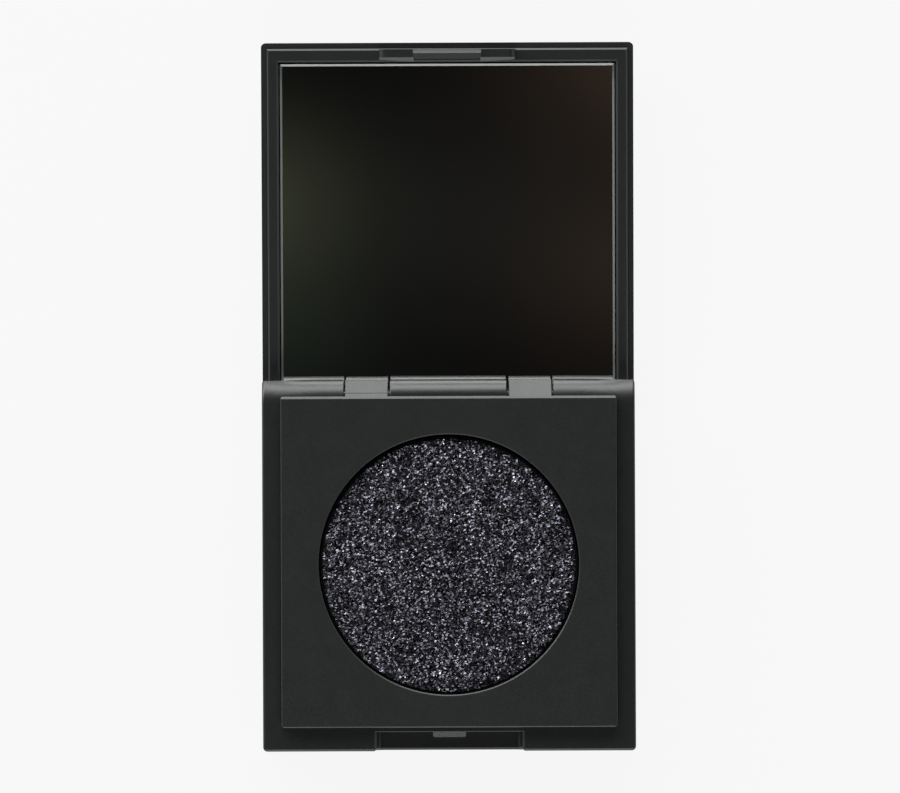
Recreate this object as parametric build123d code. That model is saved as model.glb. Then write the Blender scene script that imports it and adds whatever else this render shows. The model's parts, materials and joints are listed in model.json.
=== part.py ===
"""Single eyeshadow compact, open at the hinge stop, in millimetres.

Every part is drawn about the hinge axis with the compact closed: X runs along the hinge,
-Y towards the front edge, +Z up. The lid's parts are then swung open to the stop, and the
whole compact is moved so that its origin is the middle of the open footprint on the table.
"""
from build123d import *
import os
from math import asin, cos, degrees, radians, sin

# Overall size
WIDTH = 42.0             # left side to right side
FRONT_REACH = 39.88      # hinge axis to the front face
REAR_REACH = 2.0         # hinge axis to the rear face
BASE_HEIGHT = 7.7        # table to the flange that the lid closes on
LID_HEIGHT = 3.5         # flange to the top of the closed lid
OPEN_ANGLE = 176.4       # lid swing from closed to the stop
CORNER_RADIUS = 0.5      # plan corners of base and lid
BOTTOM_ROUND = 0.6       # outer edge under the base
LID_ROUND = 0.8          # outer edge on top of the lid
EDGE_ROUND = 0.3         # outer edge of the flange and of the hinge shoulders

# Hinge
BARREL_RADIUS = 2.0
SHOULDER_ROUND = 2.2     # roll from the flange over the hinge shoulders
END_ROUND = 3.5          # that roll at the sides of the base, where it is softer
END_TURN = 46.0          # slope at which the softer roll stops, at a crisp rear edge
END_REAR = 1.85          # axis to that rear edge
END_HUB = 2.3            # radius of the underside below that edge
ROLL_BLEND = 15.0        # the roll starts to soften this far from the middle
CENTRE_HALF = 6.58       # half length of the base's centre barrel
KNUCKLE_START = 6.86
KNUCKLE_END = 11.60
SHOULDER_START = 11.84
KNUCKLE_RADIUS = 1.95
KNUCKLE_FLAT = 1.52      # axis to the flat on each knuckle
KNUCKLE_STEP = 0.04      # small step in that flat
FLAT_TILT = 50.0         # the flat's direction above level when the lid is open
NECK_DEPTH = 0.8         # underside of the hinge necks below the axis
SWING_GAP = 2.25         # axis to the base's rear wall, clear of the lid's rear edge
BARREL_EDGE = 0.12       # eased end edges of the barrels
PIN_RADIUS = 0.5
PRESS_BITE = 0.01        # the pins are this much larger than the bores that grip them
KNUCKLE_PLAY = 0.05      # radial running clearance in the knuckles
PIN_INNER = 2.0          # inner end of each pin from the middle
PIN_OUTER = 20.4         # outer end of each pin from the middle

# Base shell
FLOOR_THICKNESS = 1.1
CAVITY_HALF = 18.3
CAVITY_FRONT = 36.4
CAVITY_REAR = 3.3
CAVITY_CORNER = 1.0
LABEL_SIDE = 27.0
LABEL_THICKNESS = 0.12
LABEL_RECESS = 0.25
NOTCH_HALF = 8.2
NOTCH_BACK = 37.7
NOTCH_DEPTH = 3.0
NOTCH_CORNER = 0.9
NOTCH_LIP = 0.25         # bevel at the front of the notch floor
NOTCH_EDGE = 0.08        # eased edge at the top of the notch's rear wall
NIB_HALF = 1.85
NIB_REACH = 38.3
NIB_TOP = 0.1            # below the flange
NIB_LEAD = 0.16          # the nib's top falls this much to its front edge
NIB_THICKNESS = 0.9
NIB_CORNER = 0.25

# Base tray, with its raised deck
DECK_HALF = 18.9
DECK_FRONT = 37.18
DECK_REAR = 0.09         # the deck runs this far behind the hinge axis
DECK_THICKNESS = 1.2
DECK_ROUND = 0.18
DECK_CORNER = 0.3
SLOPE_WIDTH = 0.27       # slope along the deck's rear edge
SLOPE_DROP = 0.2
SEAT_DEPTH = 0.25        # the deck sits this far into the flange
SEAT_GAP = 0.08
SKIRT_WALL = 0.9
FIT_GAP = 0.05           # tray to base, frame to cover
WELL_RADIUS = 14.65
WELL_WALL = 0.8
WELL_CENTRE = 18.85      # hinge axis to the middle of the well
WELL_FLOOR = 0.85
WELL_BEVEL = 0.12

# Pan and powder
PAN_CENTRE = 18.95       # hinge axis to the middle of the pan, which sits towards the front
PAN_RADIUS = 14.5
PAN_SHEET = 0.25
PAN_HEIGHT = 4.0
PAN_BELOW_DECK = 0.7     # deck top to the pan's rim
PAN_ROUND = 0.5
PAN_RIM_ROUND = 0.11     # both edges of the pan's rim, which is nearly a half circle in section
CAKE_BELOW_DECK = 0.45   # deck top to the powder
GLUE_THICKNESS = 0.1
PAN_GLUE_RADIUS = 12.0

# Lid
RIM_SETBACK = 0.35       # shadow gap between the closed cover and the flange
LID_WALL = 0.58          # front and side walls of the cover
LID_REAR_WALL = 0.8
LID_ROOF = 0.85
WEB_START = 0.25         # front face of the web that carries each knuckle
FRAME_GAP = 0.05         # closed lid frame above the flange
POCKET_HALF = 19.05      # the frame's opening around the mirror
POCKET_FRONT = 37.73
FRAME_PLATE = 0.4
FRAME_REAR = 1.2         # the side bars stop this far in front of the axis
FRAME_EDGE = 0.2
MIRROR_HALF = 18.9
MIRROR_FRONT = 37.5
MIRROR_REAR = 0.2
MIRROR_THICKNESS = 0.8
MIRROR_RECESS = 1.25     # frame face to the mirror's face
GROUND_WIDTH = 0.24      # ground edge of the mirror
GROUND_DEPTH = 0.15
LIP_HALF = 7.7
LIP_FRONT = 39.2
LIP_BACK = 38.3
LIP_DROP = 2.5           # how far the lip reaches below the flange when closed
LIP_CORNER = 0.8
CATCH_HALF = 3.83
CATCH_FRONT = 38.78
CATCH_BACK = 38.12
CATCH_TOP = 1.15         # top of the catch below the flange, under the nib
CATCH_DROP = 2.85
CATCH_CORNER = 0.25
CATCH_LEAD = 0.2         # rise of the catch's lead-in slope to the lip's front face
RAMP_WIDE = 0.55         # ramp behind the lip, at the catch
RAMP_NARROW = 0.3        # ramp behind the lip, at the lip's end
RAMP_SLOPE = 0.42        # rise of the ramp for each millimetre of its width

# Heights measured from the hinge axis
FLANGE = BARREL_RADIUS
AXIS_HEIGHT = BASE_HEIGHT - FLANGE
TABLE = -AXIS_HEIGHT
CAVITY_FLOOR = TABLE + FLOOR_THICKNESS
DECK_TOP = FLANGE + DECK_THICKNESS
PAN_TOP = DECK_TOP - PAN_BELOW_DECK
PAN_BOTTOM = PAN_TOP - PAN_HEIGHT
WELL_BOTTOM = PAN_BOTTOM - GLUE_THICKNESS
CAKE_TOP = DECK_TOP - CAKE_BELOW_DECK
LID_TOP = FLANGE + LID_HEIGHT
RIM = FLANGE + RIM_SETBACK
FRAME_FACE = FLANGE + FRAME_GAP
FRAME_BACK = LID_TOP - LID_ROOF
MIRROR_FACE = FRAME_FACE + MIRROR_RECESS
MIRROR_BACK = MIRROR_FACE + MIRROR_THICKNESS
PLATE_FACE = FRAME_BACK - FRAME_PLATE

LID_NODES = ("lid_cover", "lid_frame", "mirror", "mirror_adhesive")


def block(x, y, z):
    """Box between the low and high ends given for each axis."""
    size = [high - low for low, high in (x, y, z)]
    middle = [(high + low) / 2 for low, high in (x, y, z)]
    return Pos(*middle) * Box(*size)


def rounded_block(x, y, z, radius):
    """Box whose four upright corners are rounded."""
    solid = block(x, y, z)
    return fillet(solid.edges().filter_by(Axis.Z), radius)


def along_x(outline, low, high):
    """Solid with a side outline drawn as (y, z), between two places along X."""
    return extrude(Plane.YZ.offset(low) * make_face(outline), amount=high - low)


def rod(radius, low, high):
    """Round bar on the hinge axis."""
    return along_x(Circle(radius).wire(), low, high)


def disc(radius, low, high, centre=WELL_CENTRE):
    """Round plate centred on the well, or at another distance from the hinge axis."""
    return Pos(0, -centre, (low + high) / 2) * Cylinder(radius, high - low)


def on_axis(radius, degrees):
    """Point (y, z) at a radius and an angle about the hinge axis."""
    return radius * cos(radians(degrees)), radius * sin(radians(degrees))


def both_sides(solid):
    """The solid and its mirror image on the other side of the compact."""
    return [solid, mirror(solid, about=Plane.YZ)]


def arc_about(centre, radius, start, end):
    """Arc about a centre (y, z), from one angle to another in degrees."""
    points = [(centre[0] + radius * cos(radians(angle)), centre[1] + radius * sin(radians(angle)))
              for angle in (start, (start + end) / 2, end)]
    return ThreePointArc(*points)


def body_outline(roll, turn, rear, hub):
    """Side outline of the base: flange, shoulder roll, round underside, neck and rear wall.

    The roll turns down through an angle to the rear edge, where the round underside begins.
    """
    roll_centre = (rear - roll * sin(radians(turn)), FLANGE - roll)
    hub_centre = (rear - hub, FLANGE - roll * (1 - cos(radians(turn))))
    neck_rise = degrees(asin((hub_centre[1] + NECK_DEPTH) / hub))
    neck = hub_centre[0] - hub * cos(radians(neck_rise))
    return (
        Polyline((neck, -NECK_DEPTH), (-SWING_GAP, -NECK_DEPTH), (-SWING_GAP, TABLE),
                 (-FRONT_REACH, TABLE), (-FRONT_REACH, FLANGE), (roll_centre[0], FLANGE))
        + arc_about(roll_centre, roll, 90, 90 - turn)
        + arc_about(hub_centre, hub, 0, neck_rise - 180)
    )


def base_body():
    """Solid of the base's outer shape, whose shoulder roll softens towards both sides."""
    middle = body_outline(SHOULDER_ROUND, 90, BARREL_RADIUS, BARREL_RADIUS)
    side = body_outline(END_ROUND, END_TURN, END_REAR, END_HUB)
    body = along_x(middle, -ROLL_BLEND, ROLL_BLEND)
    end = loft([Plane.YZ.offset(ROLL_BLEND) * make_face(middle),
                Plane.YZ.offset(WIDTH / 2) * make_face(side)], ruled=True)
    for solid in both_sides(end):
        body += solid
    return body


def centre_barrel():
    """Centre barrel of the hinge with the neck that joins it to the base."""
    under = -(BARREL_RADIUS ** 2 - NECK_DEPTH ** 2) ** 0.5
    root = -SWING_GAP - PIN_RADIUS
    outline = (
        Polyline((under, -NECK_DEPTH), (root, -NECK_DEPTH), (root, FLANGE), (0, FLANGE))
        + ThreePointArc((0, FLANGE), on_axis(BARREL_RADIUS, -30), (under, -NECK_DEPTH))
    )
    barrel = along_x(outline, -CENTRE_HALF, CENTRE_HALF)
    ends = barrel.edges().filter_by(GeomType.CIRCLE)
    return fillet(ends, BARREL_EDGE)


def notch():
    """Space at the front of the base that takes the lid's lip."""
    space = block((-NOTCH_HALF, NOTCH_HALF), (-FRONT_REACH - 1, -NOTCH_BACK),
                  (FLANGE - NOTCH_DEPTH, FLANGE + 1))
    low_sides = space.edges().filter_by(Axis.Y).group_by(Axis.Z)[0]
    return fillet(low_sides, NOTCH_CORNER)


def latch_nib():
    """Small nib on the notch's rear wall that the lid's catch snaps under."""
    top = FLANGE - NIB_TOP
    under = top - NIB_THICKNESS
    root = -CAVITY_FRONT - SKIRT_WALL
    outline = Polyline((root, under), (root, top), (-NOTCH_BACK, top), (-NIB_REACH, top - NIB_LEAD),
                       (-NIB_REACH, under), close=True)
    nib = along_x(outline, -NIB_HALF, NIB_HALF)
    return fillet(nib.edges().filter_by(Axis.Z).group_by(Axis.Y)[0], NIB_CORNER)


def base_shell():
    shell = base_body()
    shell = fillet(shell.edges().filter_by(Axis.Z).group_by(Axis.Y)[0], CORNER_RADIUS)
    low = shell.edges().group_by(Axis.Z)[0]
    shell = fillet(low.filter_by(lambda e: e.center().Y < -SWING_GAP - 1), BOTTOM_ROUND)
    rim = [e for e in shell.edges()
           if e.center().Z > FLANGE - 0.01 and e.center().Y < -END_ROUND]
    rolls = [e for e in shell.edges().filter_by(GeomType.CIRCLE)
             if abs(abs(e.center().X) - WIDTH / 2) < 0.01 and e.center().Y > -SWING_GAP]
    shell = fillet(rim + rolls, EDGE_ROUND)
    shell -= block((-SHOULDER_START, SHOULDER_START), (-SWING_GAP, REAR_REACH + 1),
                   (TABLE - 1, FLANGE + 1))
    shell += centre_barrel()
    shell -= rounded_block((-CAVITY_HALF, CAVITY_HALF), (-CAVITY_FRONT, -CAVITY_REAR),
                           (CAVITY_FLOOR, FLANGE + 1), CAVITY_CORNER)
    shell -= deck_block(SEAT_GAP, -CAVITY_REAR, (FLANGE - SEAT_DEPTH, FLANGE + 1))
    middle = -(FRONT_REACH + SWING_GAP) / 2
    half = LABEL_SIDE / 2
    shell -= rounded_block((-half, half), (middle - half, middle + half),
                           (TABLE - 1, TABLE + LABEL_RECESS), CAVITY_CORNER)
    shell -= notch()
    front = FLANGE - NOTCH_DEPTH
    lip = [e for e in shell.edges().filter_by(Axis.X)
           if abs(e.center().Z - front) < 0.01 and e.center().Y < -NOTCH_BACK - 1]
    shell = chamfer(lip, NOTCH_LIP)
    ridge = [e for e in shell.edges().filter_by(Axis.X)
             if abs(e.center().Z - FLANGE) < 0.01 and abs(e.center().Y + NOTCH_BACK) < 0.01]
    shell = chamfer(ridge, NOTCH_EDGE)
    shell += latch_nib()
    for bore in both_sides(rod(PIN_RADIUS - PRESS_BITE, PIN_INNER - 0.1, WIDTH)):
        shell -= bore
    return shell


def deck_block(gap, rear, z):
    """Block with the deck's outline, larger by a gap at the front and sides."""
    half = DECK_HALF + gap
    return rounded_block((-half, half), (-DECK_FRONT - gap, rear), z, DECK_CORNER)


def deck():
    """Raised deck with rounded top edges, a slope along its rear edge and a foot in the flange."""
    plate = deck_block(0, DECK_REAR, (FLANGE, DECK_TOP))
    plate = fillet(plate.faces().sort_by(Axis.Z)[-1].edges(), DECK_ROUND)
    plate -= along_x(Polyline((DECK_REAR - SLOPE_WIDTH, DECK_TOP), (DECK_REAR, DECK_TOP - SLOPE_DROP),
                              (DECK_REAR + 1, DECK_TOP - SLOPE_DROP), (DECK_REAR + 1, DECK_TOP + 1),
                              (DECK_REAR - SLOPE_WIDTH, DECK_TOP + 1), close=True), -DECK_HALF, DECK_HALF)
    return plate + deck_block(0, -CAVITY_REAR - FIT_GAP, (FLANGE - SEAT_DEPTH, FLANGE))


def base_tray():
    side = CAVITY_HALF - FIT_GAP
    front, rear = -CAVITY_FRONT + FIT_GAP, -CAVITY_REAR - FIT_GAP
    foot = CAVITY_FLOOR + FIT_GAP
    skirt = rounded_block((-side, side), (front, rear), (foot, FLANGE - SEAT_DEPTH), CAVITY_CORNER)
    inside = side - SKIRT_WALL
    skirt -= rounded_block((-inside, inside), (front + SKIRT_WALL, rear - SKIRT_WALL),
                           (foot - 1, FLANGE - SEAT_DEPTH), CAVITY_CORNER / 2)
    well = disc(WELL_RADIUS + WELL_WALL, WELL_BOTTOM - WELL_FLOOR, FLANGE)
    tray = deck() + skirt + well
    opening = disc(WELL_RADIUS, WELL_BOTTOM, DECK_TOP + 1)
    tray -= opening
    mouth = [e for e in tray.edges().filter_by(GeomType.CIRCLE)
             if abs(e.center().Z - DECK_TOP) < 0.01 and abs(e.radius - WELL_RADIUS) < 0.01]
    return chamfer(mouth, WELL_BEVEL)


def eyeshadow_pan():
    pan = disc(PAN_RADIUS, PAN_BOTTOM, PAN_TOP, PAN_CENTRE)
    pan = fillet(pan.edges().group_by(Axis.Z)[0], PAN_ROUND)
    inner = disc(PAN_RADIUS - PAN_SHEET, PAN_BOTTOM + PAN_SHEET, PAN_TOP + 1, PAN_CENTRE)
    inner = fillet(inner.edges().group_by(Axis.Z)[0], PAN_ROUND - PAN_SHEET)
    pan -= inner
    return fillet(pan.edges().group_by(Axis.Z)[-1], PAN_RIM_ROUND)


def eyeshadow_cake():
    cake = disc(PAN_RADIUS - PAN_SHEET, PAN_BOTTOM + PAN_SHEET, CAKE_TOP, PAN_CENTRE)
    return fillet(cake.edges().group_by(Axis.Z)[0], PAN_ROUND - PAN_SHEET)


def pan_adhesive():
    return disc(PAN_GLUE_RADIUS, WELL_BOTTOM, PAN_BOTTOM, PAN_CENTRE)


def base_label():
    half = LABEL_SIDE / 2 - 2 * FIT_GAP
    middle = -(FRONT_REACH + SWING_GAP) / 2
    top = TABLE + LABEL_RECESS
    return rounded_block((-half, half), (middle - half, middle + half),
                         (top - LABEL_THICKNESS, top), CAVITY_CORNER)


def hinge_pin(side):
    pin = rod(PIN_RADIUS, PIN_INNER, PIN_OUTER)
    pin = chamfer(pin.edges().filter_by(GeomType.CIRCLE), PIN_RADIUS / 5)
    return pin if side > 0 else mirror(pin, about=Plane.YZ)


def knuckle(step):
    """Right-hand knuckle of the lid, with its stepped flat and the web that carries it."""
    barrel = rod(KNUCKLE_RADIUS, KNUCKLE_START, KNUCKLE_END)
    closed_tilt = FLAT_TILT + OPEN_ANGLE
    turned = Rot(closed_tilt, 0, 0)
    reach = 2 * KNUCKLE_RADIUS
    span = (KNUCKLE_START - 1, KNUCKLE_END + 1)
    barrel -= turned * block(span, (KNUCKLE_FLAT, reach), (-reach, reach))
    barrel -= turned * block(span, (KNUCKLE_FLAT - step, reach), (KNUCKLE_RADIUS / 3, reach))
    web = block((KNUCKLE_START, KNUCKLE_END), (WEB_START, REAR_REACH - FIT_GAP),
                (0, FRAME_BACK + LID_ROOF / 2))
    return barrel + web


def lid_cover():
    half = WIDTH / 2
    cover = rounded_block((-half, half), (-FRONT_REACH, REAR_REACH), (RIM, LID_TOP), CORNER_RADIUS)
    cover = fillet(cover.faces().sort_by(Axis.Z)[-1].edges(), LID_ROUND)
    inside = half - LID_WALL
    cover -= block((-inside, inside), (-FRONT_REACH + LID_WALL, REAR_REACH - LID_REAR_WALL),
                   (RIM - 1, FRAME_BACK))
    cover += knuckle(0)
    cover += mirror(knuckle(KNUCKLE_STEP), about=Plane.YZ)
    for bore in both_sides(rod(PIN_RADIUS + KNUCKLE_PLAY, KNUCKLE_START - 1, KNUCKLE_END + 1)):
        cover -= bore
    return cover


def ramp():
    """Right-hand ramp behind the lip, wide at the catch and narrow at the lip's end."""
    def section(x, size):
        corner = -LIP_BACK
        outline = Polyline((corner, FRAME_FACE - RAMP_SLOPE * size), (corner, FRAME_FACE + FRAME_EDGE),
                           (corner + size, FRAME_FACE + FRAME_EDGE), (corner + size, FRAME_FACE), close=True)
        return Plane.YZ.offset(x) * make_face(outline)
    return loft([section(CATCH_HALF - FIT_GAP, RAMP_WIDE), section(LIP_HALF - FIT_GAP, RAMP_NARROW)],
                ruled=True)


def catch():
    """Catch that snaps under the base's nib, with a lead-in slope out to the lip's front face."""
    low, high = FLANGE - CATCH_DROP, FLANGE - CATCH_TOP
    outline = Polyline((-LIP_FRONT, low + CATCH_LEAD), (-CATCH_FRONT, low), (-CATCH_BACK, low),
                       (-CATCH_BACK, high), (-LIP_FRONT, high), close=True)
    wedge = along_x(outline, -CATCH_HALF, CATCH_HALF)
    return chamfer(wedge.edges().filter_by(Axis.Z).group_by(Axis.Y)[-1], CATCH_CORNER)


def lip_and_catch():
    """Front lip of the lid with its catch and ramps."""
    low = FLANGE - LIP_DROP
    lip = block((-LIP_HALF, LIP_HALF), (-LIP_FRONT, -LIP_BACK), (low, FRAME_FACE + FRAME_EDGE))
    lip = fillet(lip.edges().filter_by(Axis.Y).group_by(Axis.Z)[0], LIP_CORNER)
    for side in both_sides(ramp()):
        lip += side
    return lip + catch()


def lid_frame():
    outer = WIDTH / 2 - LID_WALL - FIT_GAP
    front = -FRONT_REACH + LID_WALL + FIT_GAP
    bars = block((-outer, outer), (front, -FRAME_REAR), (FRAME_FACE, FRAME_BACK))
    bars -= block((-POCKET_HALF, POCKET_HALF), (-POCKET_FRONT, 1), (FRAME_FACE - 1, PLATE_FACE))
    bars = chamfer([e for e in bars.edges() if abs(e.center().Z - FRAME_FACE) < 0.01
                    and e.center().Y < -FRAME_REAR - 1], FRAME_EDGE)
    plate = block((-POCKET_HALF, POCKET_HALF), (-FRAME_REAR - 1, FIT_GAP), (PLATE_FACE, FRAME_BACK))
    return bars + plate + lip_and_catch()


def mirror_glass():
    glass = block((-MIRROR_HALF, MIRROR_HALF), (-MIRROR_FRONT, -MIRROR_REAR), (MIRROR_FACE, MIRROR_BACK))
    face = glass.faces().sort_by(Axis.Z)[0]
    return chamfer(face.edges(), GROUND_WIDTH, GROUND_DEPTH, reference=face)


def mirror_adhesive():
    edge = 4 * GROUND_WIDTH
    return block((-MIRROR_HALF + edge, MIRROR_HALF - edge), (-MIRROR_FRONT + edge, -MIRROR_REAR - edge),
                 (MIRROR_BACK, PLATE_FACE))


def placed(name, solid):
    """Swings the lid's parts open, then moves the axis to its place above the table."""
    if name in LID_NODES:
        solid = Rot(-OPEN_ANGLE, 0, 0) * solid
    return Pos(0, AXIS_Y, AXIS_HEIGHT) * solid


def open_reach():
    """Hinge axis to the far edge of the open lid, whose top edge is rounded."""
    tilt = radians(180 - OPEN_ANGLE)
    return (FRONT_REACH - LID_ROUND) * cos(tilt) + (LID_TOP - LID_ROUND) * sin(tilt) + LID_ROUND


AXIS_Y = (FRONT_REACH - open_reach()) / 2

NODES = {
    "base_shell": base_shell(),
    "base_tray": base_tray(),
    "eyeshadow_pan": eyeshadow_pan(),
    "eyeshadow_cake": eyeshadow_cake(),
    "pan_adhesive": pan_adhesive(),
    "base_label": base_label(),
    "hinge_pin_left": hinge_pin(-1),
    "hinge_pin_right": hinge_pin(1),
    "lid_cover": lid_cover(),
    "lid_frame": lid_frame(),
    "mirror": mirror_glass(),
    "mirror_adhesive": mirror_adhesive(),
}

os.makedirs("parts", exist_ok=True)
for name, solid in NODES.items():
    export_step(placed(name, solid), os.path.join("parts", f"{name}.step"))
print(f"hinge axis at y {AXIS_Y:.4f}, z {AXIS_HEIGHT:.4f}")
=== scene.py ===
import json
import math

import bmesh
import bpy
import numpy as np
from mathutils import Matrix, Vector
from mathutils.geometry import delaunay_2d_cdt


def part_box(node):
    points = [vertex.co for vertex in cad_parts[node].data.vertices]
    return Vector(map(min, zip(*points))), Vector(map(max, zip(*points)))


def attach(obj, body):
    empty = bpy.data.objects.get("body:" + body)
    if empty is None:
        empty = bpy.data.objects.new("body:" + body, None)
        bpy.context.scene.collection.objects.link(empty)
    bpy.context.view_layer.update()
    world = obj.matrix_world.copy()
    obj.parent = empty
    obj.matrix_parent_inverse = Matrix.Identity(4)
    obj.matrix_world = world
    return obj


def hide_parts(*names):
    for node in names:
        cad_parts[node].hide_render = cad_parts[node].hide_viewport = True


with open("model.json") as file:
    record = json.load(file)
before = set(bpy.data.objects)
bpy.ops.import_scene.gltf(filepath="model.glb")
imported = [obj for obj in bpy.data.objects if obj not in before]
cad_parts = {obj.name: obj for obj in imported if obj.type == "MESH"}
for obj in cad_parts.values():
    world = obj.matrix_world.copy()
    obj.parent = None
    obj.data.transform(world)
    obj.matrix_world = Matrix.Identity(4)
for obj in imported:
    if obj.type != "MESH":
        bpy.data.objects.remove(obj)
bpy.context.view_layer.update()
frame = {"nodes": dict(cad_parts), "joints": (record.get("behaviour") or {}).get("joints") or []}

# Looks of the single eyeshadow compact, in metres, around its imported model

NODES = frame["nodes"]
HINGE = Vector(frame["joints"][0]["pos_m"])
OPEN_ANGLE = math.radians(frame["joints"][0]["range_deg"][1])
LID_TILT = math.pi - OPEN_ANGLE          # how far the open lid leans up from level
MM = 0.001
SEED = 7

# Plastic: places where a moulding is smoother or lighter than the rest of it
PATCH_FADE = 0.12 * MM
BARREL = ((-6.8 * MM, 6.8 * MM), (HINGE.y - 2.6 * MM, HINGE.y + 3 * MM))
NIB = ((-1.85 * MM, 1.85 * MM), (HINGE.y - 38.6 * MM, HINGE.y - 37.75 * MM))
CATCH = ((-3.8 * MM, 3.8 * MM), (HINGE.y + 37.9 * MM, HINGE.y + 38.8 * MM))

PLASTIC_TINT = (0.86, 1.0, 0.93)         # the black plastic is very slightly green
SHADE_HEADROOM = 5.0                     # lightest that a patch can be, as a multiple of the plastic's shade

# Mirror: how far its ground edge seems to lean inwards, as a share of its slope, and the glass's green cast
EDGE_LEAN = 0.52
FROST_TINT = (0.96, 1.0, 0.98)

# Powder: facets of the pressed bed, which is lower and calmer at its edge
FACET_PITCH = 0.205 * MM
FACET_SCATTER = 0.17                     # random shift of a corner, as a share of the pitch
ROW_STEP = 0.866                         # distance between rows of corners, as a share of the pitch
EDGE_CLEAR = 0.8                         # rim to the nearest corner, as a share of the pitch
BED_DROP = 0.06 * MM                     # bed's mean level below the cake's top
BED_ROUGHNESS = 0.046 * MM
BED_PEAK = 0.05 * MM                     # highest corner above the mean level
CALM_EDGE = 0.25 * MM
CALM_LEAST = 0.15                        # share of the roughness that is left at the rim
CALM_DROP = 0.03 * MM

# Loose flakes pressed into the bed's top; the sizes are half widths
FLAKE_COUNT = 5000
FLAKE_SIZES = (0.07, 0.15)               # in millimetres
FLAKE_THICKNESS = 0.012 * MM
FLAKE_SQUEEZE = (0.6, 1.0)
FLAKE_TILT = math.radians(24)
FLAKE_SINK = 0.05 * MM
FLAKE_INSET = 0.10 * MM                  # clear of the cake's edge
FLAKE_SIDES = 6
FLAKE_STEP = 2 * math.pi / FLAKE_SIDES

# Card overhead, as the mirror shows it: (x, y, reach in x, reach in y, colour) for each soft patch
CARD_HEIGHT = 0.50
CARD_AIM = 0.031                         # hinge to the place on the mirror that shows the card's middle
CARD_Y = HINGE.y + CARD_AIM - math.tan(2 * LID_TILT) * CARD_HEIGHT
CARD_SIZE = (0.20, 0.16)
CARD_FLOOR = 0.0034
CARD_GLOWS = [
    (-0.041, 0.005, 0.020, 0.016, (0.032, 0.0355, 0.0205)),
    (-0.036, -0.019, 0.020, 0.013, (0.0065, 0.0095, 0.0065)),
    (0.042, -0.008, 0.024, 0.014, (0.0135, 0.0085, 0.006)),
    (0.046, 0.036, 0.028, 0.018, (0.0335, 0.022, 0.0155)),
    (0.050, 0.000, 0.034, 0.040, (0.007, 0.0035, 0.002)),
    (0.000, 0.002, 0.060, 0.020, (0.0062, 0.0062, 0.0055)),
]

# Floor: a round sweep that curves up into a low wall
FLOOR_RADIUS = 2.6
FLOOR_BEND = 0.5
FLOOR_WALL = 0.55
FLOOR_RINGS = (0.02, 0.3)                # rings of the level part, as shares of the radius
FLOOR_SIDES = 96
BEND_STEPS = 12
FLOOR_GLOW = 0.90
FLOOR_DIFFUSE = 0.035                    # share that takes shadows

# Lights and camera, placed from the middle of the hinge
LIGHT_DISTANCE = 0.70
LIGHT_AIM = 0.01                         # height that the lights face
LIGHT_HEIGHT = 0.51                      # upright side of each light's rectangle
CAMERA_ABOVE = 0.80                      # above the base's flange
CAMERA_SHIFT = (0.19 * MM, 0.04 * MM)
CAMERA_TURN = math.radians(-0.22)
SENSOR = 36.0
LENS = 284.3


# ---------------------------------------------------------------- node helpers

class Shader:
    """A material's node tree, with short calls for the nodes that the looks below use."""

    def __init__(self, name):
        self.material = bpy.data.materials.new(name)
        self.material.use_nodes = True
        self.nodes = self.material.node_tree.nodes
        self.links = self.material.node_tree.links
        self.nodes.clear()
        self.output = self.nodes.new("ShaderNodeOutputMaterial")
        self.place = self.nodes.new("ShaderNodeTexCoord").outputs["Object"]

    def node(self, kind, values=None, **settings):
        made = self.nodes.new(kind)
        for name, value in settings.items():
            setattr(made, name, value)
        for name, value in (values or {}).items():
            self.feed(made.inputs[name], value)
        return made

    def feed(self, socket, value):
        if isinstance(value, bpy.types.NodeSocket):
            self.links.new(value, socket)
        else:
            socket.default_value = value

    def noise(self, size, detail=2.0, roughness=0.5, stretch=(1, 1, 1)):
        """Noise whose features are about size metres across, from 0 to 1."""
        place = self.node("ShaderNodeMapping", {"Vector": self.place, "Scale": stretch}).outputs[0]
        values = {"Vector": place, "Scale": 1 / size, "Detail": detail, "Roughness": roughness}
        return self.node("ShaderNodeTexNoise", values).outputs["Fac"]

    def ramp(self, value, low, high, from_low=0.0, from_high=1.0):
        values = {"Value": value, "From Min": from_low, "From Max": from_high, "To Min": low, "To Max": high}
        return self.node("ShaderNodeMapRange", values).outputs["Result"]

    def mix(self, factor, first, second, blend="MIX"):
        made = self.node("ShaderNodeMix", data_type="RGBA", blend_type=blend)
        for socket, value in zip((made.inputs[0], made.inputs[6], made.inputs[7]), (factor, first, second)):
            self.feed(socket, value)
        return made.outputs[2]

    def math(self, operation, first, second=0.0):
        made = self.node("ShaderNodeMath", operation=operation)
        self.feed(made.inputs[0], first)
        self.feed(made.inputs[1], second)
        return made.outputs[0]

    def vector(self, operation, first, second=(0, 0, 0), output="Vector"):
        made = self.node("ShaderNodeVectorMath", operation=operation)
        self.feed(made.inputs[0], first)
        self.feed(made.inputs[1], second)
        return made.outputs[output]

    def scale(self, vector, factor):
        values = {0: vector, "Scale": factor}
        return self.node("ShaderNodeVectorMath", values, operation="SCALE").outputs[0]

    def band(self, axis, low, high, soft):
        """1 between two places along an axis, fading to 0 over soft metres outside them."""
        along = self.node("ShaderNodeSeparateXYZ", {"Vector": self.place}).outputs[axis]
        rise = self.ramp(along, 0.0, 1.0, low - soft, low)
        return self.math("MULTIPLY", rise, self.ramp(along, 1.0, 0.0, high, high + soft))

    def bump(self, height, depth, normal=None):
        """Bump from a height of 0 to 1 that stands for depth metres."""
        values = {"Height": height, "Strength": 1.0, "Distance": depth}
        if normal is not None:
            values["Normal"] = normal
        return self.node("ShaderNodeBump", values).outputs["Normal"]

    def surface(self, values):
        made = self.node("ShaderNodeBsdfPrincipled", values)
        self.links.new(made.outputs[0], self.output.inputs["Surface"])
        return self.material


def grey(value, tint=(1.0, 1.0, 1.0)):
    return (*(value * channel for channel in tint), 1.0)


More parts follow.
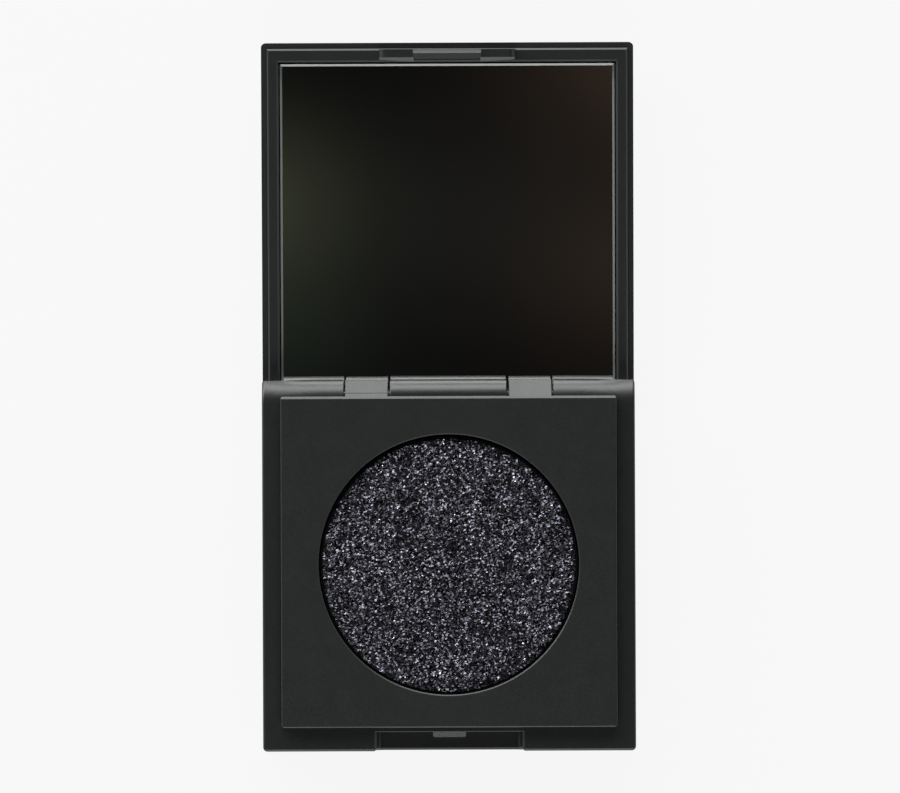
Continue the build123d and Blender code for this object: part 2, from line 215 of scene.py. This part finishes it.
# ---------------------------------------------------------------- materials

def moulded_plastic(name, shade, roughness, grain, patches=()):
    """Black moulded plastic with a spark-eroded grain, faint flow marks and handling polish.

    Each patch is (x band, y band, added roughness, factor on the shade), its bands in metres."""
    look = Shader(name)
    flow = look.noise(9 * MM, 3, 0.6, (1, 0.35, 1))
    speckle = look.noise(0.16 * MM, 2, 0.7)
    rub = look.noise(2.4 * MM, 4, 0.65)
    tone = look.math("MULTIPLY", look.ramp(flow, 0.96, 1.04), look.ramp(speckle, 0.86, 1.14, 0.3, 0.7))
    gloss = look.math("ADD", look.ramp(rub, roughness + 0.018, roughness - 0.018, 0.3, 0.7),
                      look.ramp(speckle, -0.03, 0.03, 0.3, 0.7))
    for across, along, rougher, lighter in patches:
        inside = look.math("MULTIPLY", look.band("X", *across, PATCH_FADE),
                           look.band("Y", *along, PATCH_FADE))
        gloss = look.math("ADD", gloss, look.math("MULTIPLY", inside, rougher))
        tone = look.math("MULTIPLY", tone, look.ramp(inside, 1.0, lighter))
    colour = look.mix(look.math("MULTIPLY", tone, 1 / SHADE_HEADROOM), grey(0.0),
                      grey(SHADE_HEADROOM * shade, PLASTIC_TINT))
    coarse = look.bump(speckle, grain)
    fine = look.bump(look.noise(0.055 * MM, 1), grain * 0.4, coarse)
    return look.surface({"Base Color": colour, "Roughness": gloss, "Normal": fine, "IOR": 1.49,
                         "Specular IOR Level": 0.5})


def mirror_glass():
    """Silvered glass: a clean face with faint wiping marks, and a frosted ground edge.

    Light that enters the ground edge leaves it from the silver behind, as if the edge leaned inwards."""
    look = Shader("mirror_silvered")
    face = Vector((0, -math.sin(LID_TILT), math.cos(LID_TILT)))
    normal = look.node("ShaderNodeTexCoord").outputs["Normal"]
    facing = look.vector("DOT_PRODUCT", normal, face, "Value")
    ground = look.ramp(facing, 1.0, 0.0, 0.985, 0.998)
    outward = look.vector("SUBTRACT", normal, look.scale(face, facing))
    inward = look.scale(outward, -EDGE_LEAN)
    leaned = look.node("ShaderNodeVectorTransform", {"Vector": look.vector("ADD", inward, face)},
                       vector_type="NORMAL", convert_from="OBJECT", convert_to="WORLD").outputs[0]
    wipe = look.noise(3.0 * MM, 4, 0.6, (0.25, 1, 1))
    frost = look.noise(0.05 * MM, 2)
    frosted = look.mix(frost, grey(0.40, FROST_TINT), grey(0.64, FROST_TINT))
    colour = look.mix(ground, grey(0.90, (0.98, 1.0, 0.985)), frosted)
    rough = look.math("ADD", look.ramp(wipe, 0.004, 0.022, 0.35, 0.75), look.math("MULTIPLY", ground, 0.38))
    metal = look.ramp(ground, 1.0, 0.5)
    return look.surface({"Base Color": colour, "Metallic": metal, "Roughness": rough, "Normal": leaned})


def blackened_wire():
    look = Shader("steel_blackened")
    lines = look.noise(0.03 * MM, 2, 0.6, (0.05, 1, 1))
    colour = look.mix(look.noise(0.8 * MM, 3), grey(0.004), grey(0.009, (1.0, 0.99, 0.97)))
    return look.surface({"Base Color": colour, "Metallic": 1.0, "Roughness": look.ramp(lines, 0.28, 0.42),
                         "Normal": look.bump(lines, 0.002 * MM)})


def black_lacquer():
    look = Shader("tinplate_lacquered")
    orange_peel = look.noise(0.5 * MM, 2)
    scuffs = look.noise(0.12 * MM, 3, 0.7, (1, 1, 0.2))
    colour = look.mix(scuffs, grey(0.002), grey(0.006))
    return look.surface({"Base Color": colour, "Roughness": look.ramp(scuffs, 0.20, 0.34),
                         "Normal": look.bump(orange_peel, 0.006 * MM)})


def glue():
    look = Shader("glue_cured")
    cloud = look.noise(1.6 * MM, 4, 0.6)
    colour = look.mix(cloud, (0.62, 0.58, 0.45, 1), (0.78, 0.76, 0.68, 1))
    return look.surface({"Base Color": colour, "Roughness": look.ramp(cloud, 0.35, 0.6),
                         "Subsurface Weight": 0.2, "Subsurface Scale": 0.4 * MM,
                         "Normal": look.bump(cloud, 0.03 * MM)})


def label_film():
    look = Shader("label_satin")
    fibre = look.noise(0.22 * MM, 4, 0.7, (1, 0.4, 1))
    colour = look.mix(fibre, grey(0.045), grey(0.075))
    return look.surface({"Base Color": colour, "Roughness": look.ramp(fibre, 0.42, 0.6),
                         "Normal": look.bump(fibre, 0.006 * MM)})


def glitter(name, dark, light, roughness, contrast, tints):
    """Glitter whose every facet has its own shade, from the mesh's tone attribute, with painted shade along
    creases.

    The tints are the two colour casts that the light facets drift between."""
    look = Shader(name)
    tone = look.node("ShaderNodeAttribute", attribute_name="tone").outputs["Fac"]
    clump = look.ramp(look.noise(1.1 * MM, 3, 0.6), 0.45, 1.5, 0.3, 0.7)
    # painted shade: dark lines where the noise is near its middle stand in for shade in the creases between
    # clumps of powder
    middle = look.math("ABSOLUTE", look.math("SUBTRACT", look.noise(0.55 * MM, 3, 0.65), 0.5))
    painted_crease_shade = look.ramp(middle, 0.12, 1.0, 0.0, 0.07)
    shade = look.math("MULTIPLY", look.math("POWER", tone, contrast), look.math("MULTIPLY", clump, painted_crease_shade))
    cast = look.ramp(look.noise(0.24 * MM, 1), 0.0, 1.0, 0.35, 0.65)
    base = look.mix(shade, grey(dark), look.mix(cast, *[grey(light, tint) for tint in tints]))
    dust = look.ramp(look.noise(0.07 * MM, 2, 0.6), 0.0, 0.6, 0.5, 0.75)
    return look.surface({"Base Color": look.mix(dust, base, grey(0.0003)), "Metallic": 1.0,
                         "Roughness": look.ramp(tone, roughness + 0.10, roughness)})


def dress(material, *nodes):
    """Puts a material in every slot of each named CAD node."""
    for node in nodes:
        for slot in NODES[node].material_slots:
            slot.material = material


# ---------------------------------------------------------------- powder

def new_piece(name, mesh, material, body):
    """A new object in one material that rides on a body."""
    piece = bpy.data.objects.new(name, mesh)
    bpy.context.scene.collection.objects.link(piece)
    mesh.materials.append(material)
    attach(piece, body)
    return piece


def powder_bed(low, high, rng):
    """Pressed powder as one closed solid with a crumbled, faceted top."""
    centre = (low + high) / 2
    radius = (high.x - low.x) / 2
    top = high.z - BED_DROP
    points = []
    rows = int(radius / (FACET_PITCH * ROW_STEP)) + 1
    for row in range(-rows, rows + 1):
        for column in range(-rows - 2, rows + 3):
            x = (column + 0.5 * (row % 2)) * FACET_PITCH + rng.normal(0, FACET_SCATTER) * FACET_PITCH
            y = row * ROW_STEP * FACET_PITCH + rng.normal(0, FACET_SCATTER) * FACET_PITCH
            if math.hypot(x, y) < radius - EDGE_CLEAR * FACET_PITCH:
                points.append((x, y))
    rim_count = int(2 * math.pi * radius / FACET_PITCH)
    rim = [(radius * math.cos(a), radius * math.sin(a))
           for a in np.linspace(0, 2 * math.pi, rim_count, endpoint=False)]
    flat = [Vector(p) for p in rim + points]
    loop = [(i, (i + 1) % rim_count) for i in range(rim_count)]
    verts, _, faces, *_ = delaunay_2d_cdt(flat, loop, [], 1, 1e-9)   # 1: the triangles inside the rim
    mesh = bmesh.new()
    made = []
    for x, y in verts:
        inland = (radius - math.hypot(x, y)) / CALM_EDGE
        rough = min(max(inland, CALM_LEAST), 1.0)
        height = rng.normal(0, BED_ROUGHNESS) * rough - CALM_DROP * (1 - rough)
        made.append(mesh.verts.new((centre.x + x, centre.y + y, top + min(height, BED_PEAK))))
    for face in faces:
        mesh.faces.new([made[i] for i in face])
    below = [mesh.verts.new((v.co.x, v.co.y, low.z)) for v in made[:rim_count]]
    for i in range(rim_count):
        j = (i + 1) % rim_count
        mesh.faces.new((made[j], made[i], below[i], below[j]))
    mesh.faces.new(list(reversed(below)))
    bmesh.ops.recalc_face_normals(mesh, faces=mesh.faces)
    data = bpy.data.meshes.new("glitter_bed")
    mesh.to_mesh(data)
    mesh.free()
    add_tones(data, rng, 1)
    return data


def add_flake(verts, faces, spot, normal, size, squeeze, spin):
    """Adds one thin six-sided flake, centred at a spot and facing along a normal."""
    across = normal.orthogonal().normalized()
    along = normal.cross(across)
    start = len(verts)
    for side in (0.5, -0.5):
        for corner in range(FLAKE_SIDES):
            angle = spin + corner * FLAKE_STEP
            verts.append(spot + size * (across * math.cos(angle) + squeeze * along * math.sin(angle))
                         + normal * side * FLAKE_THICKNESS)
    upper = [start + i for i in range(FLAKE_SIDES)]
    lower = [start + FLAKE_SIDES + i for i in range(FLAKE_SIDES)]
    faces.append(upper)
    faces.append(lower[::-1])
    for i in range(FLAKE_SIDES):
        j = (i + 1) % FLAKE_SIDES
        faces.append([upper[i], lower[i], lower[j], upper[j]])


def loose_flakes(low, high, rng):
    """Small metallic flakes pressed into the top of the powder, each with its own lean."""
    centre = (low + high) / 2
    radius = (high.x - low.x) / 2 - FLAKE_INSET
    verts, faces = [], []
    for _ in range(FLAKE_COUNT):
        away = radius * math.sqrt(rng.random())
        around = rng.random() * 2 * math.pi
        size = rng.uniform(*FLAKE_SIZES) * MM
        tilt = abs(rng.normal(0, FLAKE_TILT))
        lean = rng.random() * 2 * math.pi
        spin = rng.random() * FLAKE_STEP
        reach = size * math.sin(tilt)
        spot = Vector((centre.x + away * math.cos(around), centre.y + away * math.sin(around),
                       high.z - FLAKE_THICKNESS - reach - rng.random() * FLAKE_SINK))
        normal = Vector((math.sin(tilt) * math.cos(lean), math.sin(tilt) * math.sin(lean), math.cos(tilt)))
        add_flake(verts, faces, spot, normal, size, rng.uniform(*FLAKE_SQUEEZE), spin)
    data = bpy.data.meshes.new("glitter_flakes")
    data.from_pydata(verts, [], faces)
    add_tones(data, rng, FLAKE_SIDES + 2)
    return data


def add_tones(data, rng, group):
    """Random shade from 0 to 1 for each run of group faces."""
    count = len(data.polygons)
    shades = np.repeat(rng.random(count // group + 1), group)[:count].astype(np.float32)
    data.attributes.new("tone", "FLOAT", "FACE").data.foreach_set("value", shades)


def make_powder():
    rng = np.random.default_rng(SEED)
    low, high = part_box("eyeshadow_cake")
    black = glitter("glitter_bed_black", dark=0.0005, light=0.232, roughness=0.28, contrast=1.0,
                    tints=[(0.85, 0.93, 1.22), (1.06, 0.96, 1.03)])
    silver = glitter("glitter_flake_silver", dark=0.01, light=0.90, roughness=0.18, contrast=4.0,
                     tints=[(0.92, 0.97, 1.08), (1.08, 0.97, 0.96)])
    bed = new_piece("glitter_bed", powder_bed(low, high, rng), black, "base")
    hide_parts("eyeshadow_cake")
    new_piece("glitter_flakes", loose_flakes(low, high, rng), silver, "base")


# ---------------------------------------------------------------- stage

def pale_floor():
    """A floor with its own light, so that it is evenly pale, and a share that takes shadows."""
    look = Shader("floor_pale")
    lit = look.node("ShaderNodeEmission", {"Color": grey(1.0), "Strength": FLOOR_GLOW})
    matte = look.node("ShaderNodeBsdfDiffuse", {"Color": grey(FLOOR_DIFFUSE), "Roughness": 0.5})
    both = look.node("ShaderNodeAddShader", {0: lit.outputs[0], 1: matte.outputs[0]})
    look.links.new(both.outputs[0], look.output.inputs["Surface"])
    return look.material


def sweep_floor():
    """Round pale floor that curves up into a low wall all round."""
    level = FLOOR_RADIUS - FLOOR_BEND
    rings = [(FLOOR_RADIUS * share, 0.0) for share in FLOOR_RINGS]
    rings.append((level, 0.0))
    for i in range(1, BEND_STEPS + 1):
        angle = i / BEND_STEPS * math.pi / 2
        rings.append((level + FLOOR_BEND * math.sin(angle), FLOOR_BEND * (1 - math.cos(angle))))
    rings.append((FLOOR_RADIUS, FLOOR_BEND + FLOOR_WALL))
    mesh = bmesh.new()
    loops = []
    for reach, height in rings:
        loops.append([mesh.verts.new((reach * math.cos(a), reach * math.sin(a), height))
                      for a in np.linspace(0, 2 * math.pi, FLOOR_SIDES, endpoint=False)])
    mesh.faces.new(loops[0])
    for inner, outer in zip(loops, loops[1:]):
        for i in range(FLOOR_SIDES):
            j = (i + 1) % FLOOR_SIDES
            mesh.faces.new((inner[i], outer[i], outer[j], inner[j]))
    data = bpy.data.meshes.new("floor")
    mesh.to_mesh(data)
    mesh.free()
    for face in data.polygons:
        face.use_smooth = True
    data.materials.append(pale_floor())
    floor = bpy.data.objects.new("floor", data)
    bpy.context.scene.collection.objects.link(floor)


def glow(look, x, y, reach_x, reach_y, colour):
    """Soft oval patch of light on the card, centred at (x, y)."""
    away = look.vector("MULTIPLY", look.vector("SUBTRACT", look.place, (x, y, 0)),
                       (1 / reach_x, 1 / reach_y, 0))
    length = look.vector("LENGTH", away, output="Value")
    fall = look.math("POWER", math.e, look.math("MULTIPLY", look.math("MULTIPLY", length, length), -1.0))
    return look.mix(fall, grey(0.0), (*colour, 1.0))


def studio_card():
    """Dim card overhead that only reflections show: near black, greenish on the left, brown on the right."""
    look = Shader("card_dim")
    total = grey(CARD_FLOOR)
    for patch in CARD_GLOWS:
        total = look.mix(1.0, total, glow(look, *patch), "ADD")
    lit = look.node("ShaderNodeEmission", {"Color": total, "Strength": 1.0})
    look.links.new(lit.outputs[0], look.output.inputs["Surface"])
    bpy.ops.mesh.primitive_plane_add(size=1, location=(0, CARD_Y, CARD_HEIGHT))
    card = bpy.context.object
    card.name = "card"
    card.data.transform(Matrix.Diagonal((*CARD_SIZE, 1, 1)))
    card.data.materials.append(look.material)
    card.visible_camera = False
    card.visible_shadow = False
    card.visible_diffuse = False


def area_light(name, zenith, azimuth, width, radiance):
    """Soft rectangle of light that faces the hinge, at angles in degrees from straight up and from +Y."""
    z = math.radians(zenith)
    a = math.radians(azimuth)
    direction = Vector((math.sin(z) * math.sin(a), math.sin(z) * math.cos(a), math.cos(z)))
    data = bpy.data.lights.new(name, "AREA")
    data.shape = "RECTANGLE"
    data.size = width
    data.size_y = LIGHT_HEIGHT
    data.energy = radiance * math.pi * width * LIGHT_HEIGHT
    light = bpy.data.objects.new(name, data)
    light.location = Vector((0, HINGE.y, LIGHT_AIM)) + direction * LIGHT_DISTANCE
    light.rotation_euler = direction.to_track_quat("Z", "Y").to_euler()
    light.visible_camera = False
    bpy.context.scene.collection.objects.link(light)


def lights():
    area_light("key_rear", zenith=67, azimuth=-20, width=1.6, radiance=6.6)
    area_light("fill_front", zenith=55, azimuth=180, width=0.65, radiance=3.75)
    world = bpy.data.worlds.new("studio_dark")
    world.use_nodes = True
    background = world.node_tree.nodes["Background"]
    background.inputs["Color"].default_value = grey(0.02)
    background.inputs["Strength"].default_value = 0.12
    bpy.context.scene.world = world


def camera():
    """Long lens that looks straight down over the hinge, turned by a small angle."""
    data = bpy.data.cameras.new("camera")
    data.sensor_width = SENSOR
    data.lens = LENS
    data.clip_start = 0.01
    data.clip_end = 20.0
    shot = bpy.data.objects.new("camera", data)
    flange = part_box("base_shell")[1].z
    shot.location = (CAMERA_SHIFT[0], HINGE.y + CAMERA_SHIFT[1], flange + CAMERA_ABOVE)
    shot.rotation_euler = (0, 0, CAMERA_TURN)
    bpy.context.scene.collection.objects.link(shot)
    bpy.context.scene.camera = shot


# ---------------------------------------------------------------- build

SHELL = moulded_plastic("plastic_shell", shade=0.0104, roughness=0.38, grain=0.006 * MM,
                        patches=[(*BARREL, -0.03, 1.1), (*NIB, -0.08, 2.0)])
COVER = moulded_plastic("plastic_cover", shade=0.0122, roughness=0.38, grain=0.004 * MM)
DECK = moulded_plastic("plastic_deck", shade=0.0104, roughness=0.42, grain=0.002 * MM)
FRAME = moulded_plastic("plastic_frame", shade=0.0108, roughness=0.40, grain=0.002 * MM,
                        patches=[(*CATCH, -0.06, 2.9)])

dress(SHELL, "base_shell")
dress(COVER, "lid_cover")
dress(DECK, "base_tray")
dress(FRAME, "lid_frame")
dress(mirror_glass(), "mirror")
dress(black_lacquer(), "eyeshadow_pan")
dress(label_film(), "base_label")
dress(glue(), "pan_adhesive", "mirror_adhesive")
dress(blackened_wire(), "hinge_pin_left", "hinge_pin_right")

make_powder()
sweep_floor()
studio_card()
lights()
camera()
bpy.context.scene.view_settings.view_transform = "Standard"
